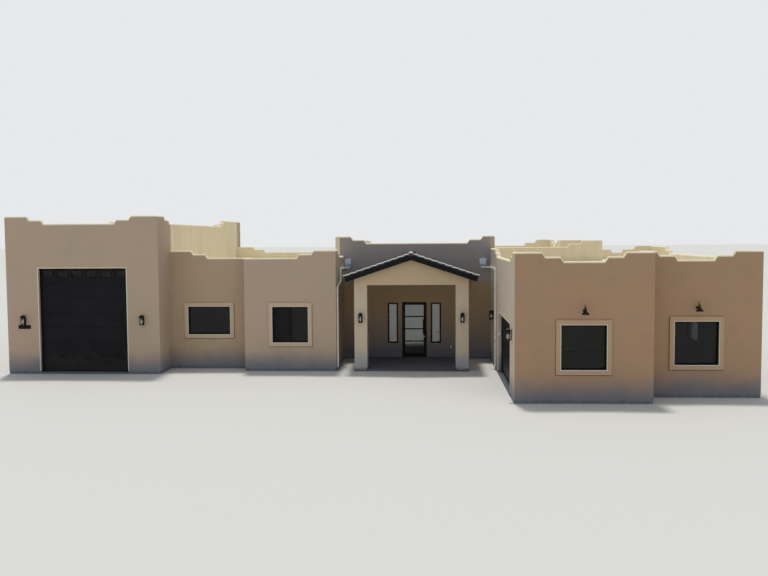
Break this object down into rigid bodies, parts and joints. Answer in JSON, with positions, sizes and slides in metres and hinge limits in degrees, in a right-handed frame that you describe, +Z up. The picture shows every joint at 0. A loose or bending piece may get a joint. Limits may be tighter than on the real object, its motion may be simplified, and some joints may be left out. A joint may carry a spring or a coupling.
{
  "type": "stucco house",
  "caption": "Single-storey stucco house with stepped parapets, a tall vehicle garage, a gabled porch with a hinged glazed door, and a side-entry garage wing.",
  "frame": {"origin": "centre of the bounding box at ground level", "axes": "+X to the right seen from the street, +Y from the street to the rear, +Z up"},
  "size_m": [28.58, 21.0799, 6.46],
  "materials": {
    "stucco": "sand-float acrylic stucco, warm tan",
    "concrete": "broom-finished concrete",
    "roof_coating": "cream elastomeric roof coating",
    "roof_tile": "flat charcoal roof tile",
    "black_trim": "black painted boards",
    "black_metal": "satin black powder coat",
    "garage_door_paint": "flat black embossed steel",
    "grey_sheet_metal": "blue-grey painted sheet metal",
    "white_sheet_metal": "off-white painted sheet metal",
    "glass": "clear glazing"
  },
  "bodies": {
    "house": {"tall_front_wall": "stucco", "tall_side_walls": "stucco", "tall_rear_wall": "stucco", "bedroom_front_wall": "stucco", "bay_front_wall": "stucco", "bay_side_walls": "stucco", "bedroom_rear_wall": "stucco", "entry_walls": "stucco", "entry_wall_header": "stucco", "hall_left_wall": "stucco", "hall_front_wall": "stucco", "hall_right_wall": "stucco", "hall_rear_wall": "stucco", "wing_front_wall": "stucco", "wing_left_wall": "stucco", "wing_back_front_wall": "stucco", "wing_right_wall": "stucco", "wing_rear_wall": "stucco", "tall_floor": "concrete", "bedroom_floor": "concrete", "hall_floor": "concrete", "wing_floor": "concrete", "porch_floor": "concrete", "tall_roof": "roof_coating", "bedroom_roof": "roof_coating", "hall_roof": "roof_coating", "wing_roof": "roof_coating", "porch_columns": "stucco", "porch_gable": "stucco", "porch_side_beams": "stucco", "porch_ceiling": "stucco", "porch_roof": "black_trim", "porch_fascia": "black_trim", "porch_tiles": "roof_tile", "tall_door": "garage_door_paint", "side_door": "garage_door_paint", "window_frames": "black_metal", "window_glass": "glass", "window_surrounds": "stucco", "entry_door_frame": "black_metal", "lantern_frames": "black_metal", "lantern_glass": "glass", "gooseneck_lamps": "black_metal", "conductor_heads": "grey_sheet_metal", "downspouts": "white_sheet_metal", "wall_plates": "black_metal"},
    "entry_door": {"entry_door": "black_metal", "entry_door_glass": "glass", "entry_door_pull": "black_metal"}
  },
  "joints": [
    {"name": "entry_door_hinge", "type": "hinge", "parent": "house", "child": "entry_door", "pos_m": [1.8865, 0.152, 1.3], "axis": [0, 0, 1], "range_deg": [0, 100]}
  ]
}
